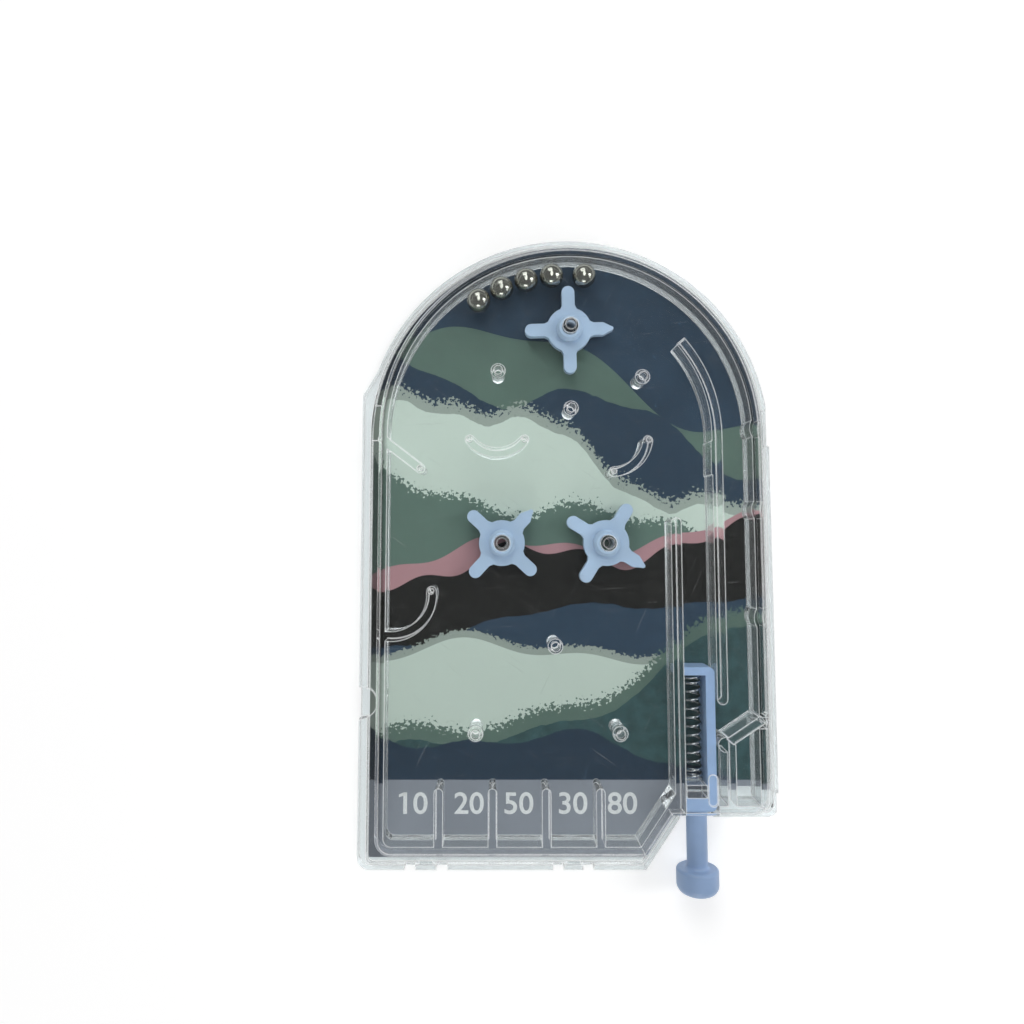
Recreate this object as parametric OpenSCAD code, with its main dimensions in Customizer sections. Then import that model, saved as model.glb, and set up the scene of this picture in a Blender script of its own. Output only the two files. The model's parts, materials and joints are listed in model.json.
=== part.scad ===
// Handheld pinball game: a clear two-part case over a printed card, with three spinners,
// pegs, curved ribs, a launch lane, a return lane, five score pockets and five steel balls.
// It lies on its back: X to the right, Y towards the arched end, Z out through the window.
// The origin is the centre of the arch, on the back face.

/* [Case] */
// Half the width of the case, which is also the radius of its arched end
case_r = 37.85; // [37.6:0.05:41]
// Distance from the arch centre down to the bottom edge
case_drop = 78.35; // [77:0.05:86]
// Height of the step beside the plunger above the bottom edge
step_rise = 9.25; // [9:0.05:9.5]
// Distance from the right-hand side in to where the slanted corner leaves the bottom edge
corner_w = 24.15; // [23.5:0.05:25]
// Slope of the slanted corner above the bottom edge, in degrees
corner_angle = 55.5; // [54:0.5:58]
// Radius of the two square corners of the case
corner_r = 2.2; // [0.5:0.1:3]
// Thickness of the back plate
floor_t = 1.5; // [1:0.1:2.5]
// Thickness of the rim round the back plate
rim_t = 1; // [0.8:0.05:1.2]
// Height of the rim above the top of the cover's flange
rim_lip = 0.5; // [0.3:0.1:1]
// How far the rim stands out on the left, below the arch
left_swell = 0.6; // [0.2:0.1:0.8]
// How far the lower right corner of the rim is set in
corner_set = 0.4; // [0.2:0.05:0.5]

/* [Card] */
// Thickness of the printed card
card_t = 0.4; // [0.2:0.05:0.6]
// Gap between the card's edge and the rim
card_gap = 0.15; // [0.1:0.05:0.4]
// Gap between the card's lower edge and the rim
card_low_gap = 0.75; // [0.2:0.05:0.9]
// Play above the card and below it
card_play = 0.05; // [0.02:0.01:0.1]
// Height of the card's short edge beside the plunger above the step
card_step_rise = 5.1; // [4.5:0.1:9]

/* [Cover] */
// Distance from the edge of the case in to the wall round the playfield
side_inset = 3.25; // [3:0.05:3.6]
// Distance from the bottom edge up to the wall below the pockets
low_inset = 4.35; // [4:0.05:4.7]
// Distance from the step beside the plunger up to the wall below the lanes
step_inset = 2; // [1.6:0.05:2.3]
// Thickness of the wall round the playfield
wall_t = 1.4; // [1:0.1:1.8]
// Clear height between the card and the window
play_h = 6; // [5.6:0.1:9]
// Thickness of the window
window_t = 1.4; // [1:0.1:2.5]
// Chamfer on the window's outer edge
window_chamfer = 0.6; // [0.2:0.1:0.8]
// Thickness of the flange that the rim grips
flange_t = 1.2; // [0.8:0.1:1.6]
// Gap between the flange and the rim
flange_gap = 0.15; // [0.1:0.05:0.3]
// Distance from the right-hand side of the playfield in to the slanted wall's lower end
slant_w = 21.2; // [20.8:0.1:22]
// Radius inside the lower left corner of the playfield
play_corner_r = 1.5; // [0.5:0.1:2.5]

/* [Lanes] */
// Distance of the launch lane's middle from the right-hand side of the playfield
lane_inset = 10.3; // [10.2:0.05:10.5]
// Clear width of the launch lane
lane_w = 6; // [5.8:0.1:6.1]
// Thickness of the two lane walls
lane_wall_t = 1.7; // [1.2:0.1:1.8]
// Where the wall left of the launch lane ends, below the arch centre
left_wall_drop = 15.2; // [10:0.5:20]
// Height of the lower end of the wall right of the launch lane above the lanes' floor
right_wall_rise = 17.6; // [17.2:0.1:19.5]
// Angle that the curved top of the right-hand wall turns through
curve_angle = 40; // [25:1:50]
// Height at which the return ramp leaves the right-hand wall, above the lanes' floor
ramp_rise = 15.4; // [15.1:0.1:15.9]
// Slope of the return ramp
ramp_angle = 33; // [30:1:35]
// Thickness of the return ramp and of the wall below it
ramp_t = 1.4; // [1:0.1:1.6]
// Radius of the rounded foot of the return ramp
ramp_foot_r = 1.2; // [1:0.1:1.3]
// Height of the open gap in the outer wall behind the ramp
wall_gap = 2.1; // [1.8:0.1:3]
// How far the creases push the right-hand wall inwards
crease_rise = 0.45; // [0.3:0.05:0.5]
// Length of the creases
crease_l = 3.1; // [2.5:0.1:3.5]
// How far the pad on the launch lane's right-hand wall stands out
lane_pad_t = 0.2; // [0.1:0.05:0.3]

/* [Pockets] */
// Distance of the first pocket divider from the left-hand side of the playfield
divider_first = 9.7; // [9.5:0.1:10]
// Spacing of the pocket dividers
divider_pitch = 9.5; // [9.3:0.1:9.6]
// Thickness of the pocket dividers
divider_t = 1.4; // [1:0.1:2]
// Length of the pocket dividers
divider_l = 9.9; // [7:0.1:11]

/* [Pegs and ribs] */
// Radius of the round pegs
peg_r = 1.25; // [1:0.05:1.4]
// Radius of the hole in each peg
peg_hole_r = 0.75; // [0.4:0.05:0.8]
// Depth of the holes in the pegs, from the outside of the window
peg_hole_depth = 4; // [2:0.5:6]
// Thickness of the ribs
rib_t = 1.6; // [1.2:0.1:2]
// Radius of the dimple in a rib's end
rib_hole_r = 0.45; // [0.2:0.05:0.5]

/* [Spinners] */
// Reach of a spinner's arms
arm_reach = 8.3; // [6.5:0.1:8.3]
// Width of a spinner's arms
arm_w = 2.4; // [1.8:0.1:2.8]
// Length of the point on a spinner's fourth arm
point_l = 1.9; // [1.5:0.1:2.5]
// Rounding of that point
point_r = 0.4; // [0.2:0.05:0.5]
// Fillet between a spinner's arms and its disc
root_fillet = 0.3; // [0.1:0.05:0.5]
// Radius of a spinner's disc
disc_r = 4.2; // [3.6:0.05:4.6]
// Thickness of a spinner's disc and arms
blade_t = 1.6; // [1.2:0.1:2]
// Height of the underside of the arms above the card
blade_lift = 1.3; // [0.8:0.1:1.6]
// Radius of a spinner's hub
hub_r = 2.45; // [2.2:0.05:2.8]
// Height of a spinner's hub
hub_h = 4.2; // [3.8:0.1:4.8]
// Height of the chamfer round the top of the hub
hub_chamfer = 0.5; // [0.2:0.1:0.6]
// Radius of the posts that the spinners turn on
post_r = 1.4; // [1.3:0.05:1.6]
// Radial play between a spinner and its post
post_play = 0.08; // [0.05:0.01:0.1]
// Radius of the hole down each post
post_hole_r = 0.95; // [0.6:0.05:1]
// Height of the closed foot of each post
post_foot = 1; // [0.8:0.1:2]
// Gap between a spinner's hub and the card
hub_lift = 0.4; // [0.3:0.1:0.6]

/* [Balls] */
// Radius of a ball
ball_r = 2.25; // [2.05:0.05:2.25]
// Gap between a ball and what it rests against
ball_gap = 0.15; // [0.1:0.01:0.2]
// Gap between neighbouring balls on the left
ball_space = 0.39; // [0.35:0.01:0.6]
// Distance of the first ball on the left from the centre line
left_ball_x = 2.9; // [2.9:0.05:3.2]
// Distance of the ball on the right from the centre line
right_ball_x = 3.22; // [3.2:0.01:3.6]

/* [Plunger] */
// Gap between the plunger's frame and the lane
frame_gap = 0.3; // [0.2:0.05:0.4]
// How far the plunger's frame reaches down into its mouth at rest
frame_sink = 1.1; // [0.6:0.1:1.3]
// How far the plunger's rod is left of the lane's middle
rod_shift = 0.3; // [0:0.05:0.4]
// Length of the plunger's frame
frame_l = 25; // [24.8:0.1:26]
// Height of the plunger's frame, front to back
frame_h = 4.9; // [4.7:0.1:5]
// Thickness of the bar at the top of the frame
top_bar_t = 1.4; // [1.2:0.1:2]
// Thickness of the bar down the side of the frame
side_bar_t = 1.6; // [1.2:0.1:1.6]
// Thickness of the bar at the bottom of the frame
bottom_bar_t = 2.3; // [1.8:0.1:2.4]
// Radius of the frame's outer corners
frame_corner_r = 1; // [0.3:0.1:1.2]
// Radius of the plunger's rod
rod_r = 1.85; // [1.5:0.05:1.9]
// Length of the rod between the frame and the knob
rod_l = 10.6; // [9:0.1:14]
// Radius of the knob
knob_r = 3.75; // [3:0.05:3.8]
// Length of the knob
knob_l = 4.4; // [4:0.1:6]
// Rounding of the knob's outer end
knob_round = 1.7; // [1:0.1:1.8]
// Rounding of the knob's shoulder, and the fillet between it and the rod
knob_fillet = 0.5; // [0.3:0.05:0.7]
// Thickness of the fixed stop inside the frame
stop_t = 2.1; // [1.8:0.1:2.3]
// Gap between the stop and the frame's bottom bar
stop_gap = 0.3; // [0.2:0.05:0.4]
// Length of the pad that keeps the frame down in its lane
pad_l = 5.4; // [4:0.1:6]

/* [Spring] */
// Thickness of the spring's wire
wire_d = 0.4; // [0.35:0.01:0.42]
// Outer diameter of the spring
spring_d = 3.3; // [3:0.05:3.3]
// Number of open turns
open_turns = 10; // [6:1:11]
// Number of close turns at each end
close_turns = 1.5; // [1:0.5:1.5]
// Distance between the close turns
close_pitch = 0.9; // [0.88:0.01:0.95]

/* [Hidden] */
$fn = 96;
// Cuts run past the faces that they open by this much
over = 0.01;
// The round end of a curved rib is this much inside its sides
end_inset = 0.03;

// Heights above the back face
card_z = floor_t + card_play;
play_z = card_z + card_t + card_play;
window_z = play_z + play_h;
top_z = window_z + window_t;
// Walls and pegs run this far up into the window
wall_root = window_t / 2;
flange_top_z = play_z + flange_t;
rim_z = flange_top_z + rim_lip;

// The outside of the cover's raised part, and the playfield inside it, from the arch centre
step_drop = case_drop - step_rise;
corner_x = case_r - corner_w;
block_r = case_r - side_inset;
block_low = case_drop - low_inset;
block_step = step_drop - step_inset;
arch_r = block_r - wall_t;
pocket_drop = block_low - wall_t;
lane_drop = block_step - wall_t;
slant_x = arch_r - slant_w;
block_h = top_z - play_z;
block_round = play_corner_r + wall_t;
slant_chamfer = window_chamfer - 0.05;

// Places on the playfield below are given for these distances, and move with the real ones
plan_r = 33.2;
plan_drop = 72.6;
plan_w = 45.2;
scale_x = arch_r / plan_r;
scale_y = pocket_drop / plan_drop;
scale_w = (arch_r + slant_x) / plan_w;
function at(p) = [p[0] * scale_x, p[1] * (p[1] < 0 ? scale_y : scale_x)];
function arc_at(a) = concat(at(a), [a[2] * scale_x, a[3], a[4]]);

// The launch lane
lane_x = arch_r - lane_inset;
lane_left = lane_x - lane_w / 2;
lane_right = lane_x + lane_w / 2;
left_wall_x = lane_left - lane_wall_t;
// The curved top of the right-hand lane wall turns about the arch centre
curve_in_r = lane_right;
curve_out_r = lane_right + lane_wall_t;

// The pad on that wall, from the arch centre down
lane_pad = [1.2, 7.3];

// The return ramp and the wall below it
right_wall_drop = lane_drop - right_wall_rise;
ramp_drop = lane_drop - ramp_rise;
ramp_foot_x = lane_right + ramp_foot_r;
ramp_l = (arch_r - ramp_foot_x) / cos(ramp_angle);
ramp_foot_y = -ramp_drop - ramp_t / 2 / cos(ramp_angle) - (arch_r - ramp_foot_x) * tan(ramp_angle);
drop_wall_shift = 0.3;
drop_wall_x = ramp_foot_x + drop_wall_shift;

// Round pegs and straight places, as [x, y] from the arch centre
pegs = [for (p = [[-13, 11.7], [13.4, 10.6], [0.3, 4.8], [-2.8, -38], [-17, -53.2], [8.6, -53.2]]) at(p)];
// Curved ribs, as [x, y, radius, first angle, last angle]
arcs = [for (a = [[-13.2, 3.1, 6.4, 219, 321], [7.75, -0.3, 6.5, 271, 353]]) arc_at(a)];
// The curved rib that grows out of the left wall
left_arc_inset = 1;
left_arc = [left_arc_inset - arch_r, -29 * scale_y, 7.3, 262, 366];
// The straight rib that grows out of the left wall
left_rib = [[-arch_r - rib_t / 2, -0.9], at([-27.1, -6.2])];
// Spinners, as a place and a turn
spinners = [[at([0.35, 20.25]), 1.5], [at([-12.3, -19.7]), 47], [at([6.9, -19.7]), -32]];
spinner_reach = arm_reach * scale_x;
// Creases in the right-hand wall, below the arch centre
creases = [for (y = [-1.2, 13.7, 33]) y * scale_y];
crease_r = (pow(crease_l / 2, 2) + pow(crease_rise, 2)) / (2 * crease_rise);
// Round notch at the left edge, as [x beyond the case, y, radius]
notch = [0.3, -48.9 * scale_y, 2.85];
// Square notch in the flange at the left, as [lower end, length], this far from the wall
flange_notch = [-0.4, 6.5];
flange_notch_gap = 0.5;
// Snap tongues in the bottom rim, as [middle, width], and the slots beside them
tongues = [[-26 * scale_x, 3.9], [0.6 * scale_x, 3.5]];
slot_w = 1.9;
snap_reach = 0.5;
hook_w = 2.6;
// Where the rim on the left starts to stand out: its corner above the arch centre, and
// the angle at which its slope leaves the arch
swell_y = 8;
swell_angle = 156;
// Gap in the rim on the right, from the arch centre
rim_break = [-1.6, 5.3];
rim_break_depth = 0.5;
// Height of the set-in corner of the rim above the step
corner_set_l = 4.2;

// The plunger's middle and its frame
frame_w = lane_w - 2 * frame_gap;
frame_x = lane_left + frame_gap;
frame_z = play_z + frame_gap;
rod_x = lane_x - rod_shift;
rod_z = frame_z + frame_h / 2;
frame_low = -lane_drop - frame_sink;
frame_top = frame_low + frame_l;
side_bar_x = frame_x + frame_w - side_bar_t;
stop_low = frame_low + bottom_bar_t + stop_gap;
stop_top = stop_low + stop_t;

// The spring stands between the frame's top bar and the stop
spring_top = frame_top - top_bar_t;
spring_l = spring_top - stop_top;
coil_r = (spring_d - wire_d) / 2;
spring_x = (frame_x + side_bar_x) / 2;
turns = open_turns + 2 * close_turns;
coil_l = spring_l - 2 * wire_d;
open_pitch = (coil_l - 2 * close_turns * close_pitch) / open_turns;
ring_steps = 8;
wire_sides = 6;

// Where balls lie against the arch
roll_r = arch_r - ball_r - ball_gap;
ball_pitch = 2 * asin((ball_r + ball_space / 2) / roll_r);
left_ball = asin(left_ball_x / roll_r);
right_ball = asin(right_ball_x / roll_r);
ball_z = play_z + ball_r + ball_gap;

// Points along an arc, for small corners
function arc_points(c, r, from, to, n = 5) =
  [for (i = [0:n]) c + r * [cos(from + (to - from) * i / n), sin(from + (to - from) * i / n)]];

// Right-hand end of a level line where it meets the slanted corner, moved outwards
function slant_at(x, y, level, outwards = 0) =
  x + outwards / sin(corner_angle) + (level - y) / tan(corner_angle);

// Outline of the case moved inwards by the given amount, with the step at its lower right
module case_plan(inset) {
  plan(case_r - inset, -case_drop + inset, -step_drop + inset,
    corner_x, -case_drop, -inset, max(corner_r - inset, 0.3));
}

// Outline of the raised part of the cover, grown outwards by the given amount
module cover_plan(out) {
  plan(arch_r + out, -pocket_drop - out, -lane_drop - out,
    slant_x, -pocket_drop, out, play_corner_r + out);
}

// An arched outline with a slanted, stepped lower right corner
module plan(r, low, step, x, y, outwards, round_r) {
  circle(r = r);
  polygon(concat(
    [[-r, 0]],
    arc_points([-r + round_r, low + round_r], round_r, 180, 270),
    [[slant_at(x, y, low, outwards), low], [slant_at(x, y, step, outwards), step]],
    arc_points([r - round_r, step + round_r], round_r, 270, 360),
    [[r, 0]]));
}

// Area that the balls can reach: the playfield with its slanted corner, and both lanes
module play_area() {
  circle(r = arch_r);
  polygon(concat(
    [[-arch_r, 0]],
    arc_points([-arch_r + play_corner_r, -pocket_drop + play_corner_r], play_corner_r, 180, 270),
    [[slant_x, -pocket_drop],
      [left_wall_x, -pocket_drop + (left_wall_x - slant_x) * tan(corner_angle)],
      [left_wall_x, -lane_drop], [arch_r, -lane_drop], [arch_r, 0]]));
}

// A straight bar with round ends
module bar(a, b, t) {
  l = norm(b - a);
  translate(a) rotate(atan2(b[1] - a[1], b[0] - a[0])) {
    translate([0, -t / 2]) square([l, t]);
    circle(d = t);
    translate([l, 0]) circle(d = t);
  }
}

// A curved bar with round ends, solid
module arc_bar(a, t, h) {
  translate([a[0], a[1], 0]) {
    rotate(a[3]) rotate_extrude(angle = a[4] - a[3]) translate([a[2] - t / 2, 0]) square([t, h]);
    for (end = [a[3], a[4]]) rotate(end) translate([a[2], 0, 0])
      cylinder(d = t - 2 * end_inset, h = h);
  }
}

module snap_slots() {
  for (t = tongues, side = [-1, 1])
    translate([t[0] + side * (t[1] + slot_w) / 2 - slot_w / 2, -case_drop - over, floor_t])
      cube([slot_w, case_drop - pocket_drop - wall_t - flange_gap, rim_z]);
}

module snap_hooks() {
  for (t = tongues)
    translate([t[0] - hook_w / 2, -case_drop + rim_t - over, flange_top_z + flange_gap])
      cube([hook_w, snap_reach + flange_gap, rim_lip - flange_gap]);
}

module edge_notch() {
  translate([-case_r - notch[0], notch[1], floor_t]) cylinder(r = notch[2], h = top_z);
}

module square_notch() {
  translate([-case_r, flange_notch[0], 0])
    cube([case_r - block_r - flange_notch_gap, flange_notch[1], top_z]);
}

module lane_mouth(z) {
  translate([lane_left, -case_drop, z]) cube([lane_w, case_drop - lane_drop + over, top_z]);
}

module back_case() {
  color([0.92, 0.94, 0.95, 0.45]) {
    difference() {
      linear_extrude(rim_z) {
        case_plan(0);
        translate([-left_swell, 0]) intersection() {
          case_plan(0);
          translate([-case_r, -case_drop]) square([case_r, case_drop]);
        }
        polygon([[0, 0], [-case_r - left_swell, 0], [-case_r - left_swell, swell_y],
          (case_r - rim_t / 2) * [cos(swell_angle), sin(swell_angle)]]);
      }
      translate([0, 0, floor_t]) linear_extrude(rim_z) case_plan(rim_t);
      translate([case_r - corner_set, -case_drop, -over])
        cube([case_r, step_rise + corner_set_l, rim_z + 2 * over]);
      lane_mouth(floor_t);
      snap_slots();
      edge_notch();
      translate([case_r - rim_break_depth, rim_break[0], floor_t])
        cube([rim_break_depth + over, rim_break[1] - rim_break[0], rim_z]);
    }
    snap_hooks();
  }
}

module printed_card() {
  color([0.19, 0.26, 0.33])
    difference() {
      translate([0, 0, card_z]) linear_extrude(card_t) case_plan(rim_t + card_gap);
      translate([lane_left, -case_drop, 0]) cube([case_r, step_rise + card_step_rise, top_z]);
      translate([-case_r, -case_drop, 0]) cube([2 * case_r, rim_t + card_low_gap, top_z]);
    }
}

// The cover's outside: straight sides and a chamfered top edge, solid
module cover_block() {
  rotate_extrude(angle = 180) polygon(half_profile(block_r));
  block_part(block_step);
  difference() {
    block_part(block_low);
    slant_cut();
  }
}

// Half of a section across the block, from its middle out to a chamfered edge
function half_profile(r) =
  [[0, 0], [r, 0], [r, block_h - window_chamfer], [r - window_chamfer, block_h], [0, block_h]];

// The straight part of the block, down to the given distance, with round lower corners
module block_part(depth) {
  difference() {
    intersection() {
      rotate([90, 0, 0]) linear_extrude(depth)
        for (side = [0, 1]) mirror([side, 0]) polygon(half_profile(block_r));
      rotate([90, 0, -90]) translate([0, 0, -block_r]) linear_extrude(2 * block_r)
        polygon(half_profile(depth));
    }
    for (side = [-1, 1]) translate([side * (block_r - block_round), block_round - depth, 0])
      corner_cut(side);
  }
}

// What a round, chamfered corner leaves off a square one
module corner_cut(side) {
  r = block_round;
  difference() {
    translate([side < 0 ? -2 * r : 0, -2 * r, -r]) cube([2 * r, 2 * r, block_h + 2 * r]);
    translate([0, 0, -2 * r]) cylinder(r = r, h = block_h - window_chamfer + 2 * r);
    translate([0, 0, block_h - window_chamfer]) cylinder(r1 = r, r2 = 0, h = r);
  }
}

// Cuts the slanted corner, with its chamfer
module slant_cut() {
  c = slant_chamfer;
  translate([slant_at(slant_x, -pocket_drop, -block_low, wall_t), -block_low, 0])
    rotate(corner_angle) rotate([90, 0, 90]) translate([0, 0, -block_r]) linear_extrude(3 * block_r)
      polygon([[-block_r, -1], [0, -1], [0, block_h - c], [c + 1, block_h + 1], [-block_r, block_h + 1]]);
}

// The hollow block, open to the card, with the plunger's mouth and the gap behind the ramp
module cover_shell() {
  translate([0, 0, play_z]) difference() {
    cover_block();
    translate([0, 0, -over]) linear_extrude(play_h + over) play_area();
    translate([arch_r - over, -ramp_drop - wall_gap, -over])
      cube([2 * wall_t, wall_gap, play_h + over]);
    translate([lane_left, -lane_drop - 2 * wall_t, -over])
      cube([lane_w, 2 * wall_t + over, play_h + over]);
    for (c = creases) translate([block_r - crease_rise + crease_r, -c, -over])
      cylinder(r = crease_r, h = top_z);
  }
}

// Lane walls, ramp, dividers, pegs and ribs, from the card up into the window
module playfield_walls() {
  h = play_h + wall_root;
  translate([0, 0, play_z]) {
    linear_extrude(h) launch_walls();
    rotate_extrude(angle = curve_angle)
      translate([curve_in_r, 0]) square([lane_wall_t, h]);
    translate([lane_right - lane_pad_t, -lane_pad[1], 0])
      cube([lane_wall_t / 2 + lane_pad_t, lane_pad[1] - lane_pad[0], h]);
    linear_extrude(h) return_ramp();
    linear_extrude(h) dividers();
    for (a = arcs) arc_bar(a, rib_t, h);
    arc_bar(left_arc, rib_t, h);
    linear_extrude(h) bar(left_rib[0], left_rib[1], rib_t);
    for (p = pegs) translate(p) cylinder(r = peg_r, h = h);
    for (s = spinners) translate(s[0]) cylinder(r = post_r, h = h);
    intersection() {
      for (c = creases) translate([arch_r - crease_rise + crease_r, -c, 0]) cylinder(r = crease_r, h = h);
      translate([0, -lane_drop, 0]) cube([arch_r + wall_t / 2, lane_drop + crease_l, h]);
    }
  }
}

module launch_walls() {
  end_r = lane_wall_t / 2;
  translate([left_wall_x, -lane_drop - over])
    square([lane_wall_t, lane_drop - left_wall_drop - end_r + over]);
  translate([left_wall_x + end_r, -left_wall_drop - end_r]) circle(r = end_r);
  translate([lane_right, -right_wall_drop + end_r])
    square([lane_wall_t, right_wall_drop - end_r]);
  translate([lane_right + end_r, -right_wall_drop + end_r]) circle(r = end_r);
}

module return_ramp() {
  translate([ramp_foot_x, ramp_foot_y]) {
    rotate(ramp_angle) translate([0, -ramp_t / 2]) square([ramp_l + wall_t / 2, ramp_t]);
    circle(r = ramp_foot_r);
  }
  translate([drop_wall_x, -lane_drop - over]) square([ramp_t, lane_drop + ramp_foot_y]);
}

module dividers() {
  for (i = [0:3]) {
    x = -arch_r + (divider_first + i * divider_pitch) * scale_w;
    translate([x - divider_t / 2, -pocket_drop - over]) square([divider_t, divider_l - divider_t / 2]);
    translate([x, -pocket_drop + divider_l - divider_t / 2]) circle(d = divider_t);
  }
}

// What holds the spring's lower end, and the pad that keeps the frame down in its lane
module plunger_guides() {
  guide_z = play_z + frame_gap;
  translate([frame_x, stop_low, guide_z])
    cube([side_bar_x - frame_gap - frame_x, stop_t, window_z + wall_root - guide_z]);
  pad_x = side_bar_x + side_bar_t / 2;
  pad_y = -lane_drop + side_bar_t / 2;
  translate([0, 0, frame_z + frame_h + frame_gap]) linear_extrude(play_h - frame_h - 2 * frame_gap + wall_root)
    bar([pad_x, pad_y], [pad_x, pad_y + pad_l - side_bar_t], side_bar_t);
}

module flange() {
  difference() {
    translate([0, 0, play_z]) linear_extrude(flange_t) difference() {
      case_plan(rim_t + flange_gap);
      cover_plan(wall_t / 2);
    }
    lane_mouth(0);
    edge_notch();
    square_notch();
  }
}

// Holes that core the pegs, posts and rib ends from the outside of the window
module cored_holes() {
  for (p = pegs) translate([p[0], p[1], top_z - peg_hole_depth])
    cylinder(r = peg_hole_r, h = peg_hole_depth + over);
  for (s = spinners) translate([s[0][0], s[0][1], play_z + post_foot])
    cylinder(r = post_hole_r, h = top_z);
  for (a = concat(arcs, [left_arc]), end = [a[3], a[4]])
    if (end != left_arc[3])
      translate([a[0] + a[2] * cos(end), a[1] + a[2] * sin(end), top_z - peg_hole_depth])
        cylinder(r = rib_hole_r, h = peg_hole_depth + over);
  translate([left_rib[1][0], left_rib[1][1], top_z - peg_hole_depth])
    cylinder(r = rib_hole_r, h = peg_hole_depth + over);
}

module front_cover() {
  color([0.93, 0.95, 0.96, 0.35])
    difference() {
      union() {
        flange();
        cover_shell();
        playfield_walls();
        plunger_guides();
      }
      cored_holes();
    }
}

// One of the four arms, lying along +X
module arm(pointed) {
  root_x = sqrt(pow(disc_r, 2) - pow(arm_w / 2, 2));
  shoulder = spinner_reach - (pointed ? point_l : arm_w / 2);
  tip_x = spinner_reach - point_r;
  polygon([[0, -arm_w / 2 - root_fillet], [root_x, -arm_w / 2 - root_fillet], [root_x + 2 * root_fillet, -arm_w / 2],
    [shoulder, -arm_w / 2], [shoulder, arm_w / 2],
    [root_x + 2 * root_fillet, arm_w / 2], [root_x, arm_w / 2 + root_fillet], [0, arm_w / 2 + root_fillet]]);
  if (pointed) {
    polygon([[shoulder, -arm_w / 2], [tip_x, -point_r], [tip_x, point_r], [shoulder, arm_w / 2]]);
    translate([tip_x, 0]) circle(r = point_r);
  } else
    translate([shoulder, 0]) circle(d = arm_w);
}

// A spinner in its place: disc, three round-ended arms, one pointed arm, and a hub
module spinner(s) {
  hub_z = play_z + hub_lift;
  color([0.66, 0.75, 0.88])
    translate(s[0]) rotate(s[1]) difference() {
      union() {
        translate([0, 0, play_z + blade_lift]) linear_extrude(blade_t) {
          circle(r = disc_r);
          arm(true);
          for (i = [1:3]) rotate(90 * i) arm(false);
        }
        translate([0, 0, hub_z]) cylinder(r = hub_r, h = hub_h - hub_chamfer);
        translate([0, 0, hub_z + hub_h - hub_chamfer])
          cylinder(r1 = hub_r, r2 = hub_r - hub_chamfer, h = hub_chamfer);
      }
      cylinder(r = post_r + post_play, h = top_z);
    }
}

module spinner_top() spinner(spinners[0]);
module spinner_left() spinner(spinners[1]);
module spinner_right() spinner(spinners[2]);

// A steel ball against the arch, at an angle left of its top
module ball(angle) {
  color([0.62, 0.61, 0.57])
    rotate(angle) translate([0, roll_r, ball_z]) sphere(r = ball_r);
}

module ball_1() ball(left_ball + 3 * ball_pitch);
module ball_2() ball(left_ball + 2 * ball_pitch);
module ball_3() ball(left_ball + ball_pitch);
module ball_4() ball(left_ball);
module ball_5() ball(-right_ball);

// The frame in plan: open to the left, round at its right-hand corners
module frame_plan() {
  right = frame_x + frame_w;
  r = frame_corner_r;
  difference() {
    polygon(concat(
      [[frame_x, frame_top], [frame_x, frame_low]],
      arc_points([right - r, frame_low + r], r, 270, 360),
      arc_points([right - r, frame_top - r], r, 0, 90)));
    translate([frame_x - over, frame_low + bottom_bar_t])
      square([frame_w - side_bar_t + over, frame_l - top_bar_t - bottom_bar_t]);
  }
}

module plunger() {
  color([0.55, 0.65, 0.81]) {
    translate([0, 0, frame_z]) linear_extrude(frame_h) frame_plan();
    translate([rod_x, frame_low + over, rod_z]) rotate([90, 0, 0]) {
      cylinder(r = rod_r, h = rod_l + knob_l / 2);
      translate([0, 0, rod_l]) rotate_extrude() knob_profile();
    }
  }
}

// Half the knob's section: a fillet into the rod, a rounded shoulder and a round outer end
module knob_profile() {
  f = knob_fillet;
  r = knob_round;
  polygon(concat(
    [[0, -f], [rod_r, -f]],
    arc_points([rod_r + f, -f], f, 180, 90, 4),
    arc_points([knob_r - f, f], f, -90, 0, 4),
    arc_points([knob_r - r, knob_l - r], r, 0, 90, 8),
    [[0, knob_l]]));
}

// How far down its axis the spring's wire is after t turns
function coil_drop(t) =
  t < close_turns ? t * close_pitch
  : t > turns - close_turns ? coil_l - (turns - t) * close_pitch
  : close_turns * close_pitch + (t - close_turns) * open_pitch;

// The wire's middle line: straight, one wire thick, at each end and a helix between them
wire_path = concat(
  [[coil_r, 0, 0]],
  [for (i = [0:turns * ring_steps])
    let (t = i / ring_steps) [coil_r * cos(360 * t), wire_d + coil_drop(t), coil_r * sin(360 * t)]],
  [[coil_r * cos(360 * turns), spring_l, coil_r * sin(360 * turns)]]);

function unit(v) = v / norm(v);

// Direction of the path at a point; the two ends run along the axis
function heading(p, i) =
  i == 0 || i == len(p) - 1 ? [0, 1, 0] : unit(p[i + 1] - p[i - 1]);

// A ring of points round the path: one direction looks away from the spring's axis
function wire_ring(p, i) =
  let (d = heading(p, i), out = unit([p[i][0], 0, p[i][2]]), side = unit(cross(d, out)), up = cross(side, d))
  [for (k = [0:wire_sides - 1])
    p[i] + wire_d / 2 * (cos(360 * k / wire_sides) * up + sin(360 * k / wire_sides) * side)];

// Least distance between points of the wire that are most of a turn apart
function wire_gap(p) =
  min([for (i = [0:len(p) - 1], j = [i + 5:1:min(i + 2 * ring_steps, len(p) - 1)]) norm(p[i] - p[j])])
  - wire_d;

module wire() {
  n = len(wire_path);
  s = wire_sides;
  points = [for (i = [0:n - 1]) each wire_ring(wire_path, i)];
  skin = [for (i = [0:n - 2], k = [0:s - 1])
    let (a = i * s + k, b = i * s + (k + 1) % s)
    each [[a, a + s, b], [b, a + s, b + s]]];
  first = [for (k = [1:s - 2]) [0, k, k + 1]];
  last = [for (k = [1:s - 2]) [(n - 1) * s, (n - 1) * s + k + 1, (n - 1) * s + k]];
  polyhedron(points, concat(first, skin, last));
}

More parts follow.
